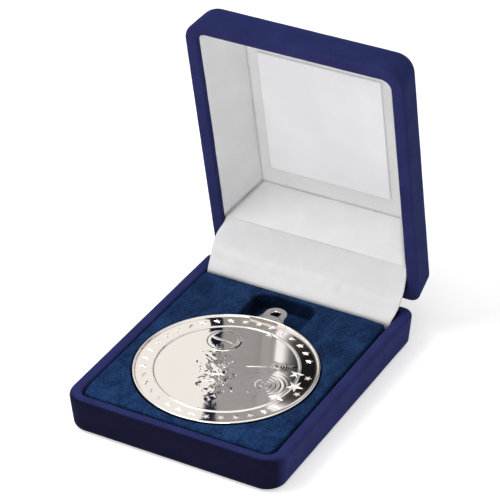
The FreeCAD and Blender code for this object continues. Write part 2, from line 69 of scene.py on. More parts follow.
def swung(points, angle):
    """Points turned about the hinge pin; a positive angle shuts the lid."""
    cosine, sine = math.cos(angle), math.sin(angle)
    moved = np.array(points, float)
    y = moved[:, 1] - HINGE[1]
    z = moved[:, 2] - HINGE[2]
    moved[:, 1] = HINGE[1] + y * cosine - z * sine
    moved[:, 2] = HINGE[2] + y * sine + z * cosine
    return moved


def node_points(node):
    """A CAD node's corners in millimetres."""
    return np.array([vertex.co for vertex in NODES[node].data.vertices], float) / MM


def box_of(points):
    """Lowest and highest corner of the box round some points."""
    return points.min(0), points.max(0)


BASE_LO, BASE_HI = box_of(node_points("base_velvet_cover"))
INSERT_LO, INSERT_HI = box_of(node_points("insert_velour_face"))
MEDAL_LO, MEDAL_HI = box_of(node_points("medal"))
PANEL_HI = box_of(node_points("underside_panel"))[1]
LID_LO, LID_HI = box_of(swung(node_points("lid_velvet_cover"), SHUT_ANGLE))
CEILING_LO, CEILING_HI = box_of(swung(node_points("lid_ceiling_card"), SHUT_ANGLE))
DISPLAY_LO, DISPLAY_HI = box_of(swung(node_points("lid_display_panel"), SHUT_ANGLE))
SIDE_LO, SIDE_HI = box_of(swung(node_points("lid_liner_left"), SHUT_ANGLE))
FRONT_LO = box_of(swung(node_points("lid_liner_front"), SHUT_ANGLE))[0]
BACK_HI = box_of(swung(node_points("lid_liner_back"), SHUT_ANGLE))[1]

MEDAL_R = (MEDAL_HI[0] - MEDAL_LO[0]) / 2
MEDAL_CENTRE = np.array([(MEDAL_HI[0] + MEDAL_LO[0]) / 2, MEDAL_LO[1] + MEDAL_R])
LUG_HOLE = next(mount for mount in frame["record"]["mounts"] if mount["name"] == "lug_hole")
LUG_OFFSET = np.array(LUG_HOLE["pos_m"][:2]) / MM - MEDAL_CENTRE
LUG_REACH = math.hypot(*LUG_OFFSET)
MEDAL_TURN = math.atan2(LUG_OFFSET[1], LUG_OFFSET[0]) - math.pi / 2
BASE_TOP = BASE_HI[2]
LID_RIM = LID_LO[2]
LID_TOP = LID_HI[2]

# ---- Details too small for the frame ---------------------------------------

CLOTH = 0.7             # velvet with its backing
RIM_WIDTH = 4.8
LID_RIM_WIDTH = 5.2
RIM_ROUND = 1.0
OUTER_ROUND = 1.7       # the base rim's outer edge
FOOT_ROUND = 2.3
FOOT_INSET = 1.25       # how far the walls draw in towards the foot
HOLLOW_FLOOR = 2.4      # where the velvet ends inside the base
HOLLOW_DRAFT = 0.4
CROWN_BEVEL = 7.2       # height of the lid's sloping shoulder
CROWN_MARGIN = 4.5      # how far the lid's flat top reaches past the ceiling card
CROWN_ROUND = 5.0
SHOULDER_ROUND = 6.0
SHOULDER_INSET = 1.45
RECESS_DEPTH = 10.0     # how far the velvet goes in behind the lid's liners
RECESS_DRAFT = 1.1
SEAM_GAP = 0.15         # between the turned-in velvet and the underside panel
CENTRE_SEAM = 1.8       # half the width of the flat patch that ends the lid's rings
FRONT_CORNER = 9.0
BACK_CORNER = 4.6
LEAST_FRONT_CORNER = 1.2
LEAST_BACK_CORNER = 0.8
RIM_LEAN = 0.14         # the draft lost in the rim's rounding
VELVET_RUMPLE = 0.05
VELOUR_THICKNESS = 0.4
SATIN_THICKNESS = 0.35
LINING_THICKNESS = 0.5


# ---- Mesh helpers ----------------------------------------------------------

def make_object(name, points, faces):
    """Smooth mesh object from millimetre points, with its faces turned outwards."""
    mesh = bpy.data.meshes.new(name)
    mesh.from_pydata([tuple(p) for p in np.asarray(points, float) * MM], [], faces)
    piece = bpy.data.objects.new(name, mesh)
    bpy.context.scene.collection.objects.link(piece)
    work = bmesh.new()
    work.from_mesh(mesh)
    bmesh.ops.recalc_face_normals(work, faces=work.faces)
    work.to_mesh(mesh)
    work.free()
    for polygon in mesh.polygons:
        polygon.use_smooth = True
    return piece


def ring_faces(rings, count, closed=False):
    """Quads between successive rings of count points."""
    faces = []
    last = rings if closed else rings - 1
    for ring in range(last):
        a = ring * count
        b = (ring + 1) % rings * count
        for step in range(count):
            after = (step + 1) % count
            faces.append((a + step, a + after, b + after, b + step))
    return faces


def end_faces(rings, count):
    """Flat faces over the first and the last of several rings."""
    return [tuple(range(count)), tuple(range((rings - 1) * count, rings * count))]


def grid_faces(rows, columns):
    """Quads of a sheet whose points run row by row."""
    faces = []
    for row in range(rows - 1):
        for column in range(columns - 1):
            corner = row * columns + column
            faces.append((corner, corner + 1, corner + columns + 1, corner + columns))
    return faces


def arc(centre, radius, start, end, count):
    """Points on a circle between two angles in degrees, both ends included."""
    angles = np.radians(np.linspace(start, end, count))
    return np.stack([centre[0] + radius * np.cos(angles), centre[1] + radius * np.sin(angles)], 1)


def rounded_path(corners, steps=8, reach=1.6):
    """Polyline of (x, y, radius) corners, each rounded, with points no more than reach apart."""
    points = []
    for index, (x, y, radius) in enumerate(corners):
        here = np.array((x, y), float)
        if radius == 0.0 or index in (0, len(corners) - 1):
            points.append(here)
            continue
        before = np.array(corners[index - 1][:2], float) - here
        after = np.array(corners[index + 1][:2], float) - here
        before /= np.linalg.norm(before)
        after /= np.linalg.norm(after)
        half = math.acos(np.clip(before @ after, -1, 1)) / 2
        away = radius / math.tan(half)
        middle = (before + after) / np.linalg.norm(before + after)
        centre = here + middle * radius / math.sin(half)
        start, end = here + before * away, here + after * away
        for step in range(steps + 1):
            blend = start + (end - start) * step / steps
            ray = blend - centre
            points.append(centre + ray / np.linalg.norm(ray) * radius)
    filled = [points[0]]
    for point in points[1:]:
        gap = np.linalg.norm(point - filled[-1])
        pieces = max(1, math.ceil(gap / reach))
        start = filled[-1]
        for piece in range(1, pieces + 1):
            filled.append(start + (point - start) * piece / pieces)
    return np.array(filled)


def offset_path(path, distance):
    """The path moved sideways, to the left of its direction."""
    along = np.gradient(path, axis=0)
    along /= np.linalg.norm(along, axis=1)[:, None]
    return path + distance * np.stack([-along[:, 1], along[:, 0]], 1)


SIDE_STEPS = 44
END_STEPS = 36
CORNER_STEPS = 12


def rectangle(half_width, front, back, r_front, r_back):
    """Rounded rectangle, always with the same number of points."""
    corners = (
        ((half_width - r_back, back - r_back), r_back, 0, END_STEPS),
        ((r_back - half_width, back - r_back), r_back, 90, SIDE_STEPS),
        ((r_front - half_width, front + r_front), r_front, 180, END_STEPS),
        ((half_width - r_front, front + r_front), r_front, 270, SIDE_STEPS),
    )
    arcs = [arc(centre, radius, start, start + 90, CORNER_STEPS)
            for centre, radius, start, _ in corners]
    points = []
    for index, piece in enumerate(arcs):
        following = arcs[(index + 1) % 4][0]
        steps = corners[index][3]
        shares = np.linspace(0, 1, steps + 2)[1:-1, None]
        points.append(piece)
        points.append(piece[-1] + (following - piece[-1]) * shares)
    return np.concatenate(points)


def case_outline(inset):
    """The case's outline moved inwards."""
    return rectangle(
        BASE_HI[0] - inset,
        BASE_LO[1] + inset,
        BASE_HI[1] - inset,
        max(FRONT_CORNER - inset, LEAST_FRONT_CORNER),
        max(BACK_CORNER - inset, LEAST_BACK_CORNER),
    )


def swept(path):
    """Rings of the case's outline along an (inset, height) path."""
    rings = []
    for inset, height in path:
        outline = case_outline(inset)
        rings.append(np.column_stack([outline, np.full(len(outline), height)]))
    return np.array(rings)


def rumpled(points, amount, scale, seed):
    """Cloth's slight unevenness: each point moved by smooth noise."""
    shift = Vector((seed * 7.3, seed * 3.1, seed * 5.7))
    moved = np.array(points, float)
    for index, point in enumerate(moved):
        offset = noise.noise_vector(Vector(point) / scale + shift)
        moved[index] = point + np.array(offset) * amount
    return moved


# ---- Materials -------------------------------------------------------------

class Shader:
    """Small builder for a material's node tree; noise scales are in millimetres."""

    def __init__(self, name):
        self.material = bpy.data.materials.new(name)
        self.material.use_nodes = True
        self.tree = self.material.node_tree
        self.surface = self.tree.nodes["Principled BSDF"]
        self.place = self.tree.nodes.new("ShaderNodeTexCoord").outputs["Object"]

    def set(self, **values):
        """Set the surface's inputs, each to a value or to another node's output."""
        for key, value in values.items():
            socket = self.surface.inputs[key.replace("_", " ").title().replace("Ior", "IOR")]
            self.feed(socket, value)

    def feed(self, socket, value):
        """Link an output to a socket, or set the socket's own value."""
        if isinstance(value, bpy.types.NodeSocket):
            self.tree.links.new(value, socket)
        elif isinstance(value, tuple) and len(value) == 3 and socket.type == "RGBA":
            socket.default_value = (*value, 1.0)
        else:
            socket.default_value = value

    def noise(self, size, detail=3.0, roughness=0.55, stretch=(1, 1, 1), distortion=0.0):
        """Noise whose features are about size millimetres across."""
        mapping = self.tree.nodes.new("ShaderNodeMapping")
        mapping.inputs["Scale"].default_value = stretch
        self.tree.links.new(self.place, mapping.inputs["Vector"])
        node = self.tree.nodes.new("ShaderNodeTexNoise")
        node.inputs["Scale"].default_value = 1.0 / (size * MM)
        node.inputs["Detail"].default_value = detail
        node.inputs["Roughness"].default_value = roughness
        node.inputs["Distortion"].default_value = distortion
        self.tree.links.new(mapping.outputs["Vector"], node.inputs["Vector"])
        return node.outputs["Fac"]

    def ramp(self, source, *stops):
        """Colour ramp from (position, colour) stops."""
        node = self.tree.nodes.new("ShaderNodeValToRGB")
        elements = node.color_ramp.elements
        while len(elements) < len(stops):
            elements.new(0.5)
        for element, (position, colour) in zip(elements, stops):
            element.position = position
            element.color = (*colour, 1.0)
        self.tree.links.new(source, node.inputs["Fac"])
        return node.outputs["Color"]

    def range(self, source, low, high, from_low=0.3, from_high=0.7):
        """The source's span from_low to from_high carried over to low to high, and held beyond."""
        node = self.tree.nodes.new("ShaderNodeMapRange")
        node.inputs["From Min"].default_value = from_low
        node.inputs["From Max"].default_value = from_high
        node.inputs["To Min"].default_value = low
        node.inputs["To Max"].default_value = high
        self.tree.links.new(source, node.inputs["Value"])
        return node.outputs["Result"]

    def math(self, operation, a, b):
        """Two numbers added, multiplied and so on."""
        node = self.tree.nodes.new("ShaderNodeMath")
        node.operation = operation
        self.feed(node.inputs[0], a)
        self.feed(node.inputs[1], b)
        return node.outputs["Value"]

    def mixed(self, a, b, share):
        """Two noises added in the proportions 1 - share and share."""
        return self.math("ADD", self.math("MULTIPLY", a, 1 - share), self.math("MULTIPLY", b, share))

    def along(self, axis):
        """Place along one of the frame's axes, in metres."""
        node = self.tree.nodes.new("ShaderNodeSeparateXYZ")
        self.tree.links.new(self.place, node.inputs["Vector"])
        return node.outputs[axis]

    def mirrored(self):
        """One where the surface is seen in a reflection, else nought."""
        return self.tree.nodes.new("ShaderNodeLightPath").outputs["Is Glossy Ray"]

    def camera_only(self, seen, unseen):
        """One strength where the camera looks straight at the surface, another elsewhere."""
        path = self.tree.nodes.new("ShaderNodeLightPath")
        return self.range(path.outputs["Is Camera Ray"], unseen, seen, 0.0, 1.0)

    def blended(self, share, a, b):
        """Colour a where the share is nought, b where it is one."""
        node = self.tree.nodes.new("ShaderNodeMix")
        node.data_type = "RGBA"
        self.tree.links.new(share, node.inputs[0])
        self.feed(node.inputs[6], a)
        self.feed(node.inputs[7], b)
        return node.outputs[2]

    def tinted(self, a, b):
        """Two colours multiplied."""
        node = self.tree.nodes.new("ShaderNodeVectorMath")
        node.operation = "MULTIPLY"
        self.tree.links.new(a, node.inputs[0])
        self.tree.links.new(b, node.inputs[1])
        return node.outputs["Vector"]

    def scaled(self, colour, strength):
        """The colour made darker or lighter by a strength."""
        node = self.tree.nodes.new("ShaderNodeVectorMath")
        node.operation = "SCALE"
        self.tree.links.new(colour, node.inputs[0])
        self.feed(node.inputs["Scale"], strength)
        return node.outputs["Vector"]

    def normal(self, axis):
        """How far the surface looks along one of the frame's axes."""
        normal = self.tree.nodes.new("ShaderNodeNewGeometry").outputs["Normal"]
        node = self.tree.nodes.new("ShaderNodeSeparateXYZ")
        self.tree.links.new(normal, node.inputs["Vector"])
        return node.outputs[axis]

    def weave(self, pitch):
        """Fine crossed threads, pitch millimetres apart."""
        heights = []
        for direction in ("X", "Y", "Z"):
            node = self.tree.nodes.new("ShaderNodeTexWave")
            node.bands_direction = direction
            node.inputs["Scale"].default_value = 0.314 / (pitch * MM)
            node.inputs["Distortion"].default_value = 0.6
            node.inputs["Detail"].default_value = 1.0
            self.tree.links.new(self.place, node.inputs["Vector"])
            heights.append(node.outputs["Fac"])
        pair = self.math("ADD", heights[0], heights[1])
        return self.math("ADD", pair, heights[2])

    def bump(self, height, depth, strength):
        """Surface bump, depth in millimetres; gives back the finished material."""
        node = self.tree.nodes.new("ShaderNodeBump")
        node.inputs["Strength"].default_value = strength
        node.inputs["Distance"].default_value = depth * MM
        self.tree.links.new(height, node.inputs["Height"])
        self.tree.links.new(node.outputs["Normal"], self.surface.inputs["Normal"])
        return self.material


def velvet_material(name, front_shaded, elsewhere):
    """Short pile with faint brushed patches. Faces turned towards the front get painted shade: a darker colour and
    less sheen. All of it is painted darker as seen in reflections.
    """
    shader = Shader(name)
    patches = shader.noise(11.0, 3.0)
    grain = shader.noise(0.45, 4.0, 0.7)
    lay = shader.mixed(patches, grain, 0.55)
    # painted shade: the mask is one on faces turned towards the front, which take the darker first colour
    front_shade_mask = shader.range(shader.normal("Y"), 1.0, 0.0, -0.60, -0.10)
    colour = shader.blended(front_shade_mask, elsewhere, front_shaded)
    colour = shader.scaled(colour, shader.range(lay, 0.70, 1.30))
    # painted reflection: the velvet is darker as seen in reflections, such as the medal's
    colour = shader.scaled(colour, shader.range(shader.mirrored(), 1.0, 0.3, 0.0, 1.0))
    # painted shade: front-turned faces get less sheen
    sheen = shader.math("MULTIPLY", shader.range(lay, 0.10, 0.26), shader.range(front_shade_mask, 1.0, 0.3, 0.0, 1.0))
    shader.set(base_color=colour, roughness=0.95, specular_ior_level=0.08, sheen_weight=sheen,
               sheen_roughness=0.35, sheen_tint=(0.10, 0.13, 0.42))
    return shader.bump(grain, 0.24, 0.7)


def velour_material():
    """Flocked velour: bluer and shorter than the velvet, paler towards the front and darker towards the back, with
    painted shade where its surface slopes, at its edges.
    """
    shader = Shader("velour_blue")
    patches = shader.noise(6.5, 4.0, 0.62, (1.0, 0.6, 1.0), 0.7)
    grain = shader.noise(0.8, 4.0, 0.8)
    lay = shader.mixed(patches, grain, 0.6)
    colour = shader.ramp(lay, (0.40, (0.0020, 0.010, 0.040)), (0.62, (0.017, 0.057, 0.170)))
    # paler towards the front, darker towards the back
    front_gradient_and_edge_shade = shader.range(shader.along("Y"), 1.25, 0.85, INSERT_LO[1] * MM, INSERT_HI[1] * MM)
    # painted shade: darker where the surface slopes, along the outer edge and the bed's lips
    front_gradient_and_edge_shade = shader.math("MULTIPLY", front_gradient_and_edge_shade, shader.range(shader.normal("Z"), 0.4, 1.0, 0.45, 0.93))
    shader.set(base_color=shader.scaled(colour, front_gradient_and_edge_shade), roughness=0.92, specular_ior_level=0.1,
               sheen_weight=shader.range(lay, 0.05, 0.3), sheen_roughness=0.4,
               sheen_tint=(0.08, 0.20, 0.50))
    return shader.bump(grain, 0.3, 0.9)


def satin_material():
    """White lining satin with a fine weave and a soft shine; painted darker as seen in reflections, such as the
    medal's.
    """
    shader = Shader("satin_white")
    cloud = shader.noise(12.0, 3.0)
    colour = shader.ramp(cloud, (0.3, (0.755, 0.755, 0.765)), (0.7, (0.81, 0.81, 0.815)))
    # painted reflection: darker base colour for reflected rays only
    reflection_darkening = shader.range(shader.mirrored(), 1.0, 0.64, 0.0, 1.0)
    shader.set(base_color=shader.scaled(colour, reflection_darkening), roughness=0.5, specular_ior_level=0.3,
               sheen_weight=0.1, sheen_roughness=0.4, sheen_tint=(1.0, 1.0, 1.0))
    return shader.bump(shader.weave(0.24), 0.012, 0.5)


def display_material():
    """Pale coated card of the display panel, with a faint satin gloss.

    In reflections, such as the medal's, it is painted: a glowing painted glint by the left edge,
    then painted shade darker across, and no gloss of its own.
    """
    shader = Shader("display_card")
    cloud = shader.noise(22.0, 2.0)
    colour = shader.ramp(cloud, (0.35, (0.87, 0.87, 0.905)), (0.65, (0.92, 0.92, 0.945)))
    across = shader.range(shader.along("X"), 0.0, 1.0, DISPLAY_LO[0] * MM, DISPLAY_HI[0] * MM)
    # painted reflection: shade across the card, used only in reflections
    reflection_shade_ramp = shader.ramp(across, (0.045, (0.5,) * 3), (0.055, (1.0,) * 3), (0.12, (1.0,) * 3),
                             (0.175, (0.30,) * 3), (0.22, (0.10,) * 3), (0.32, (0.015,) * 3))
    # painted glint: glow by the left edge, only in reflections
    painted_glint = shader.ramp(across, (0.045, (0.0,) * 3), (0.055, (0.35,) * 3), (0.105, (0.33,) * 3),
                        (0.14, (0.10,) * 3), (0.17, (0.0,) * 3))
    # painted reflection: the card keeps its colour for the camera and takes the painted shade in reflections
    reflection_tint = shader.blended(shader.mirrored(), (1.0, 1.0, 1.0), reflection_shade_ramp)
    shader.set(base_color=shader.tinted(colour, reflection_tint), roughness=0.3,
               specular_ior_level=shader.range(shader.mirrored(), 0.5, 0.0, 0.0, 1.0),
               emission_color=painted_glint, emission_strength=shader.mirrored())
    return shader.bump(shader.noise(0.5, 3.0), 0.01, 0.4)


def silver_material():
    """Polished silver plate with the faintest haze and hairline wear."""
    shader = Shader("silver_polished")
    haze = shader.noise(5.0, 4.0)
    hairs = shader.noise(0.6, 3.0, 0.6, (6.0, 0.6, 1.0))
    shader.set(base_color=(0.86, 0.81, 0.765), metallic=1.0,
               roughness=shader.range(haze, 0.035, 0.08))
    return shader.bump(hairs, 0.001, 0.5)


def steel_material(name, tone, rough):
    """Zinc-plated steel with a drawn grain along the hinge."""
    shader = Shader(name)
    grain = shader.noise(0.25, 4.0, 0.6, (0.08, 1.0, 1.0))
    spots = shader.noise(2.5, 3.0)
    colour = shader.ramp(spots, (0.3, (tone * 0.86,) * 3), (0.7, (tone, tone, tone * 1.02)))
    shader.set(base_color=colour, metallic=1.0, roughness=shader.range(grain, rough, rough + 0.15))
    return shader.bump(grain, 0.01, 0.5)


def plain_material(name, dark, light, rough, size, depth):
    """Moulded, foamed or board material with a mottled colour and matching bump."""
    shader = Shader(name)
    mottle = shader.noise(size, 5.0, 0.65)
    shader.set(base_color=shader.ramp(mottle, (0.3, dark), (0.7, light)), roughness=rough,
               specular_ior_level=0.3)
    return shader.bump(mottle, depth, 0.6)


# The first colour is painted shade for faces turned towards the front: much darker on the base's velvet, nearly
# the same on the lid's.
VELVET = velvet_material("velvet_navy", (0.0066, 0.0064, 0.0255), (0.028, 0.034, 0.134))
LID_VELVET = velvet_material("velvet_navy_lid", (0.024, 0.028, 0.112), (0.021, 0.028, 0.114))
VELOUR = velour_material()
SATIN = satin_material()
DISPLAY = display_material()
SILVER = silver_material()
STEEL = steel_material("steel_plated", 0.62, 0.28)
SPRING_STEEL = steel_material("steel_spring", 0.42, 0.22)
SHELL = plain_material("shell_moulded", (0.012, 0.012, 0.016), (0.02, 0.02, 0.026), 0.5, 1.2, 0.03)
FOAM = plain_material("foam_grey", (0.03, 0.032, 0.038), (0.06, 0.064, 0.07), 0.95, 0.8, 0.2)
BOARD = plain_material("board_grey", (0.22, 0.19, 0.15), (0.34, 0.30, 0.24), 0.9, 0.9, 0.05)

NODE_MATERIALS = {
    "base_shell": SHELL,
    "lid_shell": SHELL,
    "underside_panel": VELVET,
    "hinge_leaf_base": STEEL,
    "hinge_leaf_lid": STEEL,
    "hinge_pin": STEEL,
    "hinge_rivets_base": STEEL,
    "hinge_rivets_lid": STEEL,
    "hinge_springs": SPRING_STEEL,
    "insert_card": BOARD,
    "insert_foam": FOAM,
}


def dress(piece, material, body, slot, *nodes):
    """Give a piece its material and its body, and hide the CAD nodes it stands for."""
    piece.data.materials.clear()
    piece.data.materials.append(material)
    if nodes:
        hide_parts(*nodes)
    if body:
        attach(piece, body)
    return piece


def paint_frame():
    """Materials for the CAD nodes that stay visible."""
    for node, material in NODE_MATERIALS.items():
        mesh = NODES[node].data
        mesh.materials.clear()
        mesh.materials.append(material)


# ---- Velvet covers ---------------------------------------------------------

def cover(name, path, seed, on_lid):
    """Cloth skin along a path: its face, its glued side, and the turned edges between.

    The base's skin is open in the middle; the lid's ends in a flat patch at the middle.
    """
    inner = offset_path(path, CLOTH)
    rings = swept(np.concatenate([path, inner[::-1]]))
    count = rings.shape[1]
    points = rumpled(rings.reshape(-1, 3), VELVET_RUMPLE, 5.0, seed)
    faces = ring_faces(len(rings), count, closed=not on_lid)
    if on_lid:
        faces.extend(end_faces(len(rings), count))
        points = swung(points, -SHUT_ANGLE)
    return make_object(name, points, faces)


def base_velvet():
    """Velvet from the underside panel up the walls, over the rim and down inside."""
    foot = BASE_HI[0] - PANEL_HI[0] - SEAM_GAP
    path = rounded_path([
        (foot, 0.0, 0.0),
        (FOOT_INSET, 0.0, FOOT_ROUND),
        (-RIM_LEAN, BASE_TOP, OUTER_ROUND),
        (RIM_WIDTH - RIM_LEAN, BASE_TOP, RIM_ROUND),
        (RIM_WIDTH + HOLLOW_DRAFT - RIM_LEAN, HOLLOW_FLOOR, 0.0),
    ])
    piece = cover("base_velvet", path[::-1], 1, False)
    return dress(piece, VELVET, "base", "velvet", "base_velvet_cover")


def lid_velvet():
    """Velvet from the middle of the lid's top, over its shoulder and rim, and in behind the liners."""
    crown_half = CEILING_HI[0] + CROWN_MARGIN
    path = rounded_path([
        (BASE_HI[0] - CENTRE_SEAM, LID_TOP, 0.0),
        (BASE_HI[0] - crown_half, LID_TOP, CROWN_ROUND),
        (SHOULDER_INSET, LID_TOP - CROWN_BEVEL, SHOULDER_ROUND),
        (-RIM_LEAN, LID_RIM, RIM_ROUND),
        (LID_RIM_WIDTH - RIM_LEAN, LID_RIM, RIM_ROUND),
        (LID_RIM_WIDTH + RECESS_DRAFT, LID_RIM + RECESS_DEPTH, 0.0),
    ])
    piece = cover("lid_velvet", path, 2, True)
    return dress(piece, LID_VELVET, "lid", "velvet", "lid_velvet_cover")


# ---- Insert ----------------------------------------------------------------

BED_GAP = 0.45
NOTCH_HALF = 13.0
NOTCH_START = 22.6
NOTCH_REACH = 50.6
NOTCH_CORNER = 5.0
MOUTH_ROUND = 1.8
BED_FLOOR = MEDAL_LO[2]
NOTCH_DEPTH = 3.8       # below the bed's floor
STEP_WIDTH = 0.8        # of the slope from the bed's floor down into the notch
FLOOR_GAP = 0.02        # keeps the velour just under the medal
LIP_ROUND = 0.9
INSERT_CORNER = 3.4
INSERT_BACK_CORNER = 1.3
EDGE_ROUND = 0.5
WORN_EDGE_ROUND = 1.5   # along the front and the right
EDGE_CHANGE = 6.0       # length over which one rounding passes into the other
LEFT_BULGE = 0.6        # the velour swells towards the left wall
FARTHEST_EDGE = 90.0    # beyond any edge of the insert, as seen from the medal


def laid(points):
    """Points drawn round the origin, turned and moved to where the medal lies."""
    cosine, sine = math.cos(MEDAL_TURN), math.sin(MEDAL_TURN)
    points = np.array(points, float)
    moved = points.copy()
    moved[:, 0] = MEDAL_CENTRE[0] + points[:, 0] * cosine - points[:, 1] * sine
    moved[:, 1] = MEDAL_CENTRE[1] + points[:, 0] * sine + points[:, 1] * cosine
    return moved


def bed_outline(grow):
    """Outline of the medal's round bed and the notch at its lug, grown by a margin."""
    radius = MEDAL_R + BED_GAP + grow
    half = NOTCH_HALF + grow
    back = NOTCH_REACH + grow
    corner = NOTCH_CORNER + grow
    mouth = MOUTH_ROUND - grow
    mouth_y = math.sqrt((radius + mouth) ** 2 - (half + mouth) ** 2)
    lean = math.degrees(math.atan2(mouth_y, half + mouth))
    rise = np.linspace(mouth_y, back - corner, 12)[1:-1]
    across = np.linspace(half - corner, corner - half, 14)[1:-1]
    pieces = [
        arc((half + mouth, mouth_y), mouth, 180 + lean, 180, 7),
        np.column_stack([np.full(len(rise), half), rise]),
        arc((half - corner, back - corner), corner, 0, 90, 9),
        np.column_stack([across, np.full(len(across), back)]),
        arc((corner - half, back - corner), corner, 90, 180, 9),
        np.column_stack([np.full(len(rise), -half), rise[::-1]]),
        arc((-half - mouth, mouth_y), mouth, 0, -lean, 7),
        arc((0, 0), radius, 180 - lean, 360 + lean, 190)[1:-1],
    ]
    return laid(np.concatenate(pieces))


def inside_rectangle(points, inset):
    """Signed distance to the insert's rounded outline, negative inside."""
    inset = np.broadcast_to(inset, (len(points),))
    low = np.array([INSERT_LO[0] - LEFT_BULGE, INSERT_LO[1]])
    high = INSERT_HI[:2]
    half = (high - low) / 2 - inset[:, None]
    centre = (high + low) / 2
    corner = np.where(points[:, 1] > centre[1], INSERT_BACK_CORNER, INSERT_CORNER) - inset
    reach = np.abs(points - centre) - (half - corner[:, None])
    outside = np.linalg.norm(np.maximum(reach, 0.0), axis=1)
    return outside + np.minimum(reach.max(1), 0.0) - corner


def insert_outline(inset):
    """The insert's edge, at the same bearings from the medal as the bed's outline."""
    centre = MEDAL_CENTRE
    rays = bed_outline(0.0) - centre
    rays /= np.linalg.norm(rays, axis=1)[:, None]
    low = np.zeros(len(rays))
    high = np.full(len(rays), FARTHEST_EDGE)
    for _ in range(40):
        middle = (low + high) / 2
        within = inside_rectangle(centre + rays * middle[:, None], inset) < 0
        low = np.where(within, middle, low)
        high = np.where(within, high, middle)
    return centre + rays * low[:, None]


def edge_rounding(outline):
    """How far the insert's top edge is rounded at each point of its outline."""
    start = EDGE_CHANGE + 2.0
    right = np.clip((outline[:, 0] - INSERT_HI[0] + start) / EDGE_CHANGE, 0, 1)
    front = np.clip((INSERT_LO[1] + start - outline[:, 1]) / EDGE_CHANGE, 0, 1)
    return EDGE_ROUND + (WORN_EDGE_ROUND - EDGE_ROUND) * np.maximum(right, front)


def floor_height(outline):
    """Bed floor, stepping down into the notch."""
    offset = outline - MEDAL_CENTRE
    half_step = STEP_WIDTH / 2
    side = np.clip((NOTCH_HALF + half_step - np.abs(offset[:, 0])) / STEP_WIDTH, 0, 1)
    depth = np.clip((offset[:, 1] - NOTCH_START + half_step) / STEP_WIDTH, 0, 1)
    return BED_FLOOR - side * depth * NOTCH_DEPTH - FLOOR_GAP


def insert_velour():
    """Velour face: rounded outer edge, flat top, soft lips, the bed and the deeper notch."""
    top = INSERT_HI[2]
    quarter = [math.pi / 8 * step for step in (1, 2, 3, 4)]
    rings = []

    def add(outline, height):
        heights = np.broadcast_to(height, (len(outline),))
        rings.append(np.column_stack([outline, heights]))

    rim = insert_outline(0.0)
    rounding = edge_rounding(rim)
    for share in np.linspace(0, 1, 5):
        add(rim, INSERT_LO[2] + (top - rounding - INSERT_LO[2]) * share)
    for angle in quarter:
        add(insert_outline(rounding * (1 - math.cos(angle))), top - rounding * (1 - math.sin(angle)))
    outer = insert_outline(rounding)
    inner = bed_outline(LIP_ROUND)
    for share in np.linspace(0, 1, 16)[1:]:
        add(outer + (inner - outer) * share, top)
    for angle in quarter[2::-1] + [0.0]:
        add(bed_outline(LIP_ROUND * (1 - math.cos(angle))), top - LIP_ROUND * (1 - math.sin(angle)))
    edge = bed_outline(0.0)
    lip = top - LIP_ROUND
    foot = floor_height(edge) + 0.15
    for share in (0.35, 0.7, 0.92):
        add(edge, lip + (foot - lip) * share)
    for share in np.linspace(1, 0.03, 26):
        outline = MEDAL_CENTRE + (edge - MEDAL_CENTRE) * share
        add(outline, floor_height(outline))
    count = len(edge)
    points = rumpled(np.concatenate(rings), VELVET_RUMPLE, 2.6, 3)
    faces = ring_faces(len(rings), count)
    faces.append(tuple(range((len(rings) - 1) * count, len(rings) * count)))
    piece = make_object("insert_velour", points, faces)
    thicken(piece, VELOUR_THICKNESS)
    return dress(piece, VELOUR, "base", "velour", "insert_velour_face")


def thicken(piece, thickness):
    """Closed cloth from a sheet, thickened away from its seen side."""
    solid = piece.modifiers.new("thickness", "SOLIDIFY")
    solid.thickness = thickness * MM
    solid.offset = -1.0
    solid.use_rim = True
    return piece


# ---- Satin lining ----------------------------------------------------------

LINING_RISE = 1.7       # from the lid's rim in to the liners' first edge
LINING_GAP = 0.1        # between the liners and the velvet
LINING_PUFF = 0.45      # how far the padding stands out
CEILING_GAP = 0.05      # the satin's face behind the ceiling card's
CEILING_OVERLAP = 0.6   # the liners' last edges inside the ceiling's edge


def lining(name, corners, puff, seed, rows=36, columns=36):
    """Padded satin panel through four corners, drawn shut: first edge at the rim, last at the ceiling."""
    rim_a, rim_b, deep_a, deep_b = [np.array(corner, float) for corner in corners]
    points = []
    for row in np.linspace(0, 1, rows):
        for column in np.linspace(0, 1, columns):
            rim = rim_a + (rim_b - rim_a) * column
            deep = deep_a + (deep_b - deep_a) * column
            points.append(rim + (deep - rim) * row)
    points = np.array(points)
    normal = np.cross(rim_b - rim_a, deep_a - rim_a)
    normal /= np.linalg.norm(normal)
    hub = np.array([0.0, (CEILING_LO[1] + CEILING_HI[1]) / 2, LID_RIM - 20.0])
    if normal @ (hub - rim_a) < 0:
        normal = -normal
    row, column = np.meshgrid(np.linspace(0, 1, rows), np.linspace(0, 1, columns), indexing="ij")
    crown = (np.minimum(row, 1 - row) * np.minimum(column, 1 - column)).ravel()
    crown = 1 - np.exp(-crown * 26.0)
    points = points + normal * (crown * puff)[:, None]
    points = rumpled(points, 0.10, 9.0, seed)
    piece = make_object(name, swung(points, -SHUT_ANGLE), grid_faces(rows, columns))
    aim_faces(piece, swung(normal[None] + HINGE, -SHUT_ANGLE)[0] - HINGE)
    return thicken(piece, LINING_THICKNESS)


def aim_faces(piece, direction):
    """Turn a sheet's faces to look along a direction."""
    total = sum((polygon.normal * polygon.area for polygon in piece.data.polygons), Vector())
    if total.dot(Vector(direction)) < 0:
        piece.data.flip_normals()


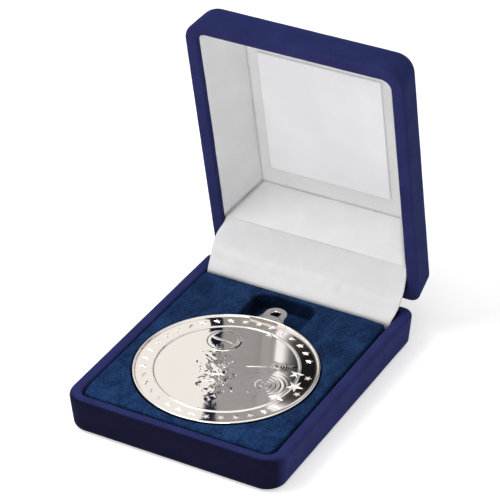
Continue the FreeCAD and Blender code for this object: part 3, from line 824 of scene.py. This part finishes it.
def lid_lining():
    """Four sloping satin panels round the lid's recess."""
    rim = LID_RIM + LINING_RISE
    deep = CEILING_LO[2] + CEILING_GAP
    x_rim = max(abs(SIDE_LO[0]), abs(SIDE_HI[0])) - LINING_GAP
    x_deep = CEILING_HI[0] - CEILING_OVERLAP
    y_front_rim, y_front_deep = FRONT_LO[1] + LINING_GAP, CEILING_LO[1] + CEILING_OVERLAP
    y_back_rim, y_back_deep = BACK_HI[1] - LINING_GAP, CEILING_HI[1] - CEILING_OVERLAP
    panels = {
        "left": ((-x_rim, y_front_rim, rim), (-x_rim, y_back_rim, rim),
                 (-x_deep, y_front_deep, deep), (-x_deep, y_back_deep, deep)),
        "right": ((x_rim, y_front_rim, rim), (x_rim, y_back_rim, rim),
                  (x_deep, y_front_deep, deep), (x_deep, y_back_deep, deep)),
        "front": ((-x_rim, y_front_rim, rim), (x_rim, y_front_rim, rim),
                  (-x_deep, y_front_deep, deep), (x_deep, y_front_deep, deep)),
        "back": ((-x_rim, y_back_rim, rim), (x_rim, y_back_rim, rim),
                 (-x_deep, y_back_deep, deep), (x_deep, y_back_deep, deep)),
    }
    for seed, (side, corners) in enumerate(panels.items()):
        piece = lining(f"satin_lining_{side}", corners, LINING_PUFF, 10 + seed)
        dress(piece, SATIN, "lid", "satin", f"lid_liner_{side}")


def lid_ceiling():
    """Flat satin sheet at the bottom of the lid's recess."""
    rows, columns = 40, 34
    half = CEILING_HI[0]
    x, y = np.meshgrid(np.linspace(-half, half, columns), np.linspace(CEILING_LO[1], CEILING_HI[1], rows))
    points = np.column_stack([x.ravel(), y.ravel(), np.full(x.size, CEILING_LO[2] + CEILING_GAP)])
    points = rumpled(points, 0.08, 11.0, 20)
    piece = make_object("satin_ceiling", swung(points, -SHUT_ANGLE), grid_faces(rows, columns))
    down = swung(np.array([[0.0, 0.0, -1.0]]) + HINGE, -SHUT_ANGLE)[0] - HINGE
    aim_faces(piece, down)
    thicken(piece, SATIN_THICKNESS)
    return dress(piece, SATIN, "lid", "satin", "lid_ceiling_card")


def display_panel():
    """Blank card with a bevelled edge, standing a little off the satin."""
    corner = 0.8
    z0, z1 = DISPLAY_LO[2], DISPLAY_HI[2] - 0.02
    middle = (DISPLAY_LO[0] + DISPLAY_HI[0]) / 2
    half = (DISPLAY_HI[0] - DISPLAY_LO[0]) / 2
    path = rounded_path([
        (half - 1.0, z0, 0.0),
        (0.0, z0, 0.25),
        (0.0, z1, 0.1),
        (half - 1.0, z1, 0.0),
    ], steps=4, reach=4.0)
    rings = []
    for inset, height in path:
        front, back = DISPLAY_LO[1] + inset, DISPLAY_HI[1] - inset
        outline = rectangle(half - inset, front, back, corner, corner)
        outline[:, 0] += middle
        rings.append(np.column_stack([outline, np.full(len(outline), height)]))
    count = len(rings[0])
    faces = ring_faces(len(rings), count) + end_faces(len(rings), count)
    points = swung(np.concatenate(rings), -SHUT_ANGLE)
    piece = make_object("display_card_panel", points, faces)
    return dress(piece, DISPLAY, "lid", "plaque", "lid_display_panel")


# Where the strip's side edges lie, from behind the insert up to the lid's lining.
CLOTH_LEFT = (-40.2, -40.0, -40.6, -42.2, -42.2, -39.4, -39.3)
CLOTH_RIGHT = (39.9, 40.1, 40.8, 40.4, 40.2, 39.9, 39.7)


def hinge_cloth():
    """Satin strip from behind the insert, over the back rim, up to the lid's lining.

    It springs out past the rims at the hinge and is drawn in again where it is glued.
    """
    crease = swung(np.array([[0.0, BACK_HI[1] - 0.2, LID_RIM + LINING_RISE]]), -SHUT_ANGLE)[0]
    path = np.array([
        (INSERT_HI[1] + 1.8, INSERT_HI[2] - 5.0),
        (INSERT_HI[1] + 1.7, INSERT_HI[2] - 0.4),
        (INSERT_HI[1] + 4.6, INSERT_HI[2] + 2.6),
        (INSERT_HI[1] + 9.6, INSERT_HI[2] + 5.1),
        (HINGE[1] - 2.5, HINGE[2] + 10.4),
        (crease[1] - 0.1, crease[2] - 1.2),
        (crease[1] + 0.3, crease[2] + 0.1),
    ])
    rows, columns = 60, 110
    lengths = np.concatenate([[0], np.cumsum(np.linalg.norm(np.diff(path, axis=0), axis=1))])
    along = np.linspace(0, lengths[-1], rows)
    y = smooth_through(lengths, path[:, 0], along)
    z = smooth_through(lengths, path[:, 1], along)
    left = smooth_through(lengths, np.array(CLOTH_LEFT), along)
    right = smooth_through(lengths, np.array(CLOTH_RIGHT), along)
    points = []
    for row in range(rows):
        share = row / (rows - 1)
        slack = math.sin(math.pi * share)
        for column in range(columns):
            across = 2 * column / (columns - 1) - 1
            x = left[row] + (right[row] - left[row]) * (across + 1) / 2
            sag = 0.9 * slack * (1 - across ** 2)
            ripple = 0.35 * math.sin(across * 5.0 + share * 3.0) * slack
            pucker = Vector((x / 5.0, share * 2.2, 8.0))
            pucker = 0.30 * noise.noise(pucker) * slack + 0.16 * noise.noise(pucker * 2.3) * slack
            points.append((x, y[row] + sag * 0.5 + ripple * 0.4 - pucker, z[row] - sag + ripple + pucker))
    points = rumpled(np.array(points), 0.22, 11.0, 31)
    piece = make_object("satin_hinge_cloth", points, grid_faces(rows, columns))
    aim_faces(piece, (0.0, -1.0, 0.6))
    thicken(piece, SATIN_THICKNESS)
    dress(piece, SATIN, None, "satin", "satin_hinge_strip")
    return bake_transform(piece)


def smooth_through(knots, values, at):
    """Smooth curve through values at knots (Catmull-Rom)."""
    slopes = np.gradient(values, knots)
    index = np.clip(np.searchsorted(knots, at, side="right") - 1, 0, len(knots) - 2)
    span = knots[index + 1] - knots[index]
    t = (at - knots[index]) / span
    h00 = 2 * t ** 3 - 3 * t ** 2 + 1
    h10 = t ** 3 - 2 * t ** 2 + t
    h01 = 3 * t ** 2 - 2 * t ** 3
    h11 = t ** 3 - t ** 2
    return (h00 * values[index] + h10 * span * slopes[index]
            + h01 * values[index + 1] + h11 * span * slopes[index + 1])


# ---- Medal -----------------------------------------------------------------

FIELD = MEDAL_HI[2] - 0.7       # height of the plain field
SCENE_R = 26.2
BAND_R = 31.0
LUG_R = 4.5
LUG_HOLE_R = LUG_HOLE["dims"]["r_mm"]
LUG_NECK = 5.0

# Places in the struck scene, from the medal's centre.
SUN = (-9.4, 15.0)
SUN_R = 7.0
HORIZON = (8.0, 5.2)
CREST = (17.2, 9.4)
SPLASH = (-2.6, -4.0)
SPLASH_LEAN = (0.87, 0.49)      # cosine and sine of the patch's lean
RIPPLES = (17.5, -3.0)
SPRAY = ((9.0, -12.0), (14.5, -9.5), (4.6, -10.2), (16.6, -5.6))


def bump(distance, width):
    """One at no distance, falling smoothly to nought past a width."""
    return np.exp(-(distance / width) ** 2)


def sun_relief(x, y):
    """Raised disc with a groove inside its edge and a wavy cloud line across it."""
    dx, dy = x - SUN[0], y - SUN[1]
    reach = np.hypot(dx, dy)
    disc = 0.30 * np.clip((SUN_R - reach) / 0.35, 0, 1)
    groove = 0.16 * bump(reach - SUN_R + 1.1, 0.4)
    cloud = dy - 0.7 * np.sin(dx * 0.5) + 0.25 * dx
    return disc - groove + 0.20 * bump(cloud, 0.35) * np.clip(SUN_R - 1.8 - reach, 0, 1)


def splash_relief(x, y):
    """Choppy water, thickest in a leaning patch near the middle."""
    chop = np.zeros_like(x)
    for index in range(x.size):
        spot = Vector((x.flat[index] * 0.17, y.flat[index] * 0.22, 4.0))
        ridge = 1 - abs(noise.noise(spot))
        fine = 1 - abs(noise.noise(spot * 2.6))
        chop.flat[index] = ridge ** 4 + 0.45 * fine ** 4
    dx, dy = x - SPLASH[0], y - SPLASH[1]
    cosine, sine = SPLASH_LEAN
    across = dx * cosine + dy * sine
    along = dy * cosine - dx * sine
    spread = ((across / 6.2) ** 2 + (along / 12.0) ** 2) ** 1.1
    return 0.54 * chop * np.exp(-spread)


def relief(x, y):
    """Generic struck scene: a sun disc over a choppy sea, with ripples. Heights above the field."""
    height = sun_relief(x, y) + splash_relief(x, y)
    horizon = y - HORIZON[1] - 0.50 * (x - HORIZON[0])
    height += 0.20 * bump(horizon, 0.22) * np.clip((x - HORIZON[0] + 3.0) / 2.0, 0, 1)
    crest = np.hypot(x - CREST[0], y - CREST[1])
    height += 0.26 * bump(crest, 1.9) * (1 + 0.8 * np.sin(crest * 5.0 + x * 2.0))
    drop = np.hypot(x - RIPPLES[0], (y - RIPPLES[1]) * 1.1)
    height += 0.045 * np.sin(drop * 3.6) * bump(drop, 6.5)
    for spray_x, spray_y in SPRAY:
        height += 0.22 * bump(np.hypot(x - spray_x, y - spray_y), 0.5)
    return height * np.clip((SCENE_R - np.hypot(x, y)) / 1.5, 0, 1)


def medal_disc():
    """Turned outline of the disc with its rim and ring; the scene is raised inside the ring."""
    count = 360
    edge = [
        (26.6, 0.0), (27.05, 0.0), (27.12, 0.08), (27.2, 0.28), (27.3, 0.36), (27.5, 0.36),
        (27.6, 0.28), (27.68, 0.08), (27.75, 0.0), (28.2, 0.0), (29.6, -0.03), (31.2, -0.04),
        (32.6, -0.02), (33.7, 0.0), (34.0, 0.06), (34.12, 0.38), (34.22, 0.60), (34.38, 0.70),
        (34.58, 0.70), (34.78, 0.64), (34.92, 0.48), (MEDAL_R, 0.25), (MEDAL_R, -0.6),
        (MEDAL_R, -1.6), (34.9, -2.1), (34.6, -2.45), (34.2, -2.5),
    ]
    radii = np.concatenate([np.arange(0.3, 26.5, 0.3), [r for r, _ in edge]])
    angles = np.radians(np.arange(count) * 360.0 / count)
    radius, angle = np.meshgrid(radii, angles, indexing="ij")
    x, y = radius * np.cos(angle), radius * np.sin(angle)
    inner = len(radii) - len(edge)
    height = np.zeros_like(x)
    height[:inner] = relief(x[:inner], y[:inner])
    height[inner:] = np.array([h for _, h in edge])[:, None]
    points = np.column_stack([x.ravel(), y.ravel(), FIELD + height.ravel()])
    return points, ring_faces(len(radii), count) + end_faces(len(radii), count)


STAR_WAIST = 0.40       # the hollows between the rays, as a share of the star's radius
STAR_STEP = 10.0        # degrees between the small stars
SMALL_STAR = (1.45, 0.42)
BIG_STAR_HEIGHT = 0.72
BIG_STARS = ((-17.0, 26.4, 3.0), (2.5, 28.0, 3.4), (18.5, 26.4, 2.9), (80.0, 27.3, 2.5))


def faceted_star(x, y, radius, turn, height):
    """Raised star with a ridge down each ray, sunk a little into the field."""
    edge, sunk = FIELD + 0.04, FIELD - 0.25
    outline = []
    for corner in range(10):
        reach = radius if corner % 2 == 0 else radius * STAR_WAIST
        angle = math.radians(turn + 36.0 * corner)
        outline.append((x + reach * math.cos(angle), y + reach * math.sin(angle)))
    points = [(x, y, FIELD + height)]
    points += [(px, py, edge) for px, py in outline]
    points += [(px, py, sunk) for px, py in outline]
    points.append((x, y, sunk))
    faces = []
    for corner in range(10):
        after = (corner + 1) % 10
        faces.append((0, 1 + corner, 1 + after))
        faces.append((1 + corner, 11 + corner, 11 + after, 1 + after))
        faces.append((21, 11 + after, 11 + corner))
    return points, faces


def star_places():
    """Bearing, reach, radius and height of each star: small ones round the band, larger ones
    across the ring. Beside the larger ones only every other small one is there."""
    places = []
    for index in range(round(360.0 / STAR_STEP)):
        bearing = STAR_STEP * (index + 0.5)
        from_right = (bearing + 180.0) % 360.0 - 180.0
        crowded = -26.0 < from_right < 28.0 and index % 2 == 0
        if not crowded:
            places.append((bearing, BAND_R, *SMALL_STAR))
    places.extend((*star, BIG_STAR_HEIGHT) for star in BIG_STARS)
    return places


def join_meshes(name, parts):
    """One object from several (points, faces) parts; only the first is shaded smooth."""
    points, faces, smooth = [], [], []
    for index, (part_points, part_faces) in enumerate(parts):
        start = len(points)
        points.extend([tuple(p) for p in part_points])
        faces.extend([tuple(start + corner for corner in face) for face in part_faces])
        smooth.extend([index == 0] * len(part_faces))
    piece = make_object(name, points, faces)
    for polygon, is_smooth in zip(piece.data.polygons, smooth):
        polygon.use_smooth = is_smooth
    return piece


def lug_outline(margin):
    """Outline of the lug with its hollow-sided neck, moved inwards by a margin."""
    tab = LUG_R - margin
    neck = LUG_NECK + margin
    disc = MEDAL_R - 0.4 - margin
    to_tab, to_disc = tab + neck, disc + neck
    along = (to_disc ** 2 - to_tab ** 2 + LUG_REACH ** 2) / (2 * LUG_REACH)
    aside = math.sqrt(to_disc ** 2 - along ** 2)
    tab_bearing = math.degrees(math.atan2(along - LUG_REACH, aside))
    disc_bearing = math.degrees(math.atan2(along, aside))
    right = arc((aside, along), neck, 180 + disc_bearing, 180 + tab_bearing, 14)
    top = arc((0, LUG_REACH), tab, tab_bearing, 180 - tab_bearing, 30)[1:-1]
    left = (right * (-1, 1))[::-1]
    foot_x = right[0][0]
    foot = [(foot_x - 1.0, MEDAL_R - 3.0), (1.0 - foot_x, MEDAL_R - 3.0)]
    return np.concatenate([right, top, left, np.array(foot)[::-1]])


def medal_lug():
    """Ribbon lug with rounded edges and its hole."""
    low, high, soft = MEDAL_LO[2] + 0.5, MEDAL_HI[2] - 0.18, 0.35
    levels = [(soft, low), (0.0, low + soft), (0.0, high - soft)]
    for step in (1, 2, 3, 4):
        angle = math.pi / 8 * step
        levels.append((soft * (1 - math.cos(angle)), high - soft * (1 - math.sin(angle))))
    count = len(lug_outline(0.0))
    rings = [np.column_stack([lug_outline(margin), np.full(count, z)]) for margin, z in levels]
    bearings = lug_outline(soft) - (0.0, LUG_REACH)
    angles = np.arctan2(bearings[:, 1], bearings[:, 0])
    circle = np.stack([np.cos(angles), np.sin(angles)], 1)
    centre = np.array([0.0, LUG_REACH])
    for grow, z in ((0.3, high), (0.1, high - 0.08), (0.0, high - 0.3), (0.0, low + 0.3), (0.3, low)):
        rings.append(np.column_stack([centre + circle * (LUG_HOLE_R + grow), np.full(count, z)]))
    return np.concatenate(rings), ring_faces(len(rings), count, closed=True)


def medal():
    """Disc, lug and stars in one piece, turned to lie as in the bed."""
    parts = [medal_disc(), medal_lug()]
    for bearing, reach, radius, height in star_places():
        x = reach * math.cos(math.radians(bearing))
        y = reach * math.sin(math.radians(bearing))
        parts.append(faceted_star(x, y, radius, bearing, height))
    parts = [(laid(points), faces) for points, faces in parts]
    piece = join_meshes("medal_struck", parts)
    return dress(piece, SILVER, "medal", "silver", "medal")


# ---- Studio ----------------------------------------------------------------

TARGET = (4.5, 0.0, 61.5)
AZIMUTH = 29.22
ELEVATION = 32.67
ROLL = -0.68
DISTANCE = 924.0
LENS = 183.3
AMBIENT = 0.38          # how strongly the surroundings light the cloth


def camera():
    """The photograph's viewpoint."""
    data = bpy.data.cameras.new("camera")
    data.lens = LENS
    data.sensor_width = 36.0
    data.clip_start = 0.05
    data.clip_end = 20.0
    eye = bpy.data.objects.new("camera", data)
    bpy.context.scene.collection.objects.link(eye)
    azimuth, elevation = math.radians(AZIMUTH), math.radians(ELEVATION)
    back = Vector((math.sin(azimuth) * math.cos(elevation),
                   -math.cos(azimuth) * math.cos(elevation), math.sin(elevation)))
    eye.location = (Vector(TARGET) + back * DISTANCE) * MM
    look = (-back).to_track_quat("-Z", "Y").to_matrix().to_4x4()
    eye.rotation_euler = (look @ Matrix.Rotation(math.radians(ROLL), 4, "Z")).to_euler()
    bpy.context.scene.camera = eye


def area_light(name, place, aim, size, power):
    """White lamp of a given width and height, aimed at a point."""
    data = bpy.data.lights.new(name, "AREA")
    data.shape = "RECTANGLE"
    data.size, data.size_y = size
    data.energy = power
    lamp = bpy.data.objects.new(name, data)
    lamp.location = place
    lamp.rotation_euler = (Vector(aim) - Vector(place)).to_track_quat("-Z", "Y").to_euler()
    bpy.context.scene.collection.objects.link(lamp)
    return lamp


def studio():
    """Pale floor, even white surroundings and soft lamps."""
    world = bpy.data.worlds.new("studio")
    bpy.context.scene.world = world
    world.use_nodes = True
    nodes, links = world.node_tree.nodes, world.node_tree.links
    background = nodes["Background"]
    background.inputs["Color"].default_value = (1.0, 0.99, 0.975, 1.0)
    kind = nodes.new("ShaderNodeLightPath")
    soften = nodes.new("ShaderNodeMapRange")
    soften.inputs["To Min"].default_value = 1.0
    soften.inputs["To Max"].default_value = AMBIENT
    links.new(kind.outputs["Is Diffuse Ray"], soften.inputs["Value"])
    links.new(soften.outputs["Result"], background.inputs["Strength"])
    area_light("key_left", (-0.42, -0.30, 0.80), (0, 0, 0.06), (0.5, 0.5), 3.9)
    area_light("top_soft", (0.05, 0.05, 0.90), (0, 0, 0.03), (0.7, 0.7), 1.0)
    area_light("front_soft", (0.25, -0.92, 0.26), (0, 0.05, 0.09), (0.6, 0.4), 2.3)
    floor_mesh = bpy.data.meshes.new("floor")
    side = 6.0
    floor_mesh.from_pydata([(-side, -side, -0.0002), (side, -side, -0.0002),
                            (side, side, -0.0002), (-side, side, -0.0002)], [], [(0, 1, 2, 3)])
    floor = bpy.data.objects.new("floor", floor_mesh)
    bpy.context.scene.collection.objects.link(floor)
    shader = Shader("floor_pale")
    tone = shader.noise(60.0, 2.0)
    glow = shader.camera_only(0.48, 0.15)
    shader.set(base_color=shader.ramp(tone, (0.3, (0.90, 0.90, 0.90)), (0.7, (0.93, 0.93, 0.93))),
               roughness=0.8, emission_color=(1.0, 1.0, 1.0), emission_strength=glow)
    floor_mesh.materials.append(shader.material)
    bpy.context.scene.view_settings.view_transform = "Standard"


paint_frame()
base_velvet()
lid_velvet()
insert_velour()
lid_lining()
lid_ceiling()
display_panel()
hinge_cloth()
medal()
studio()
camera()
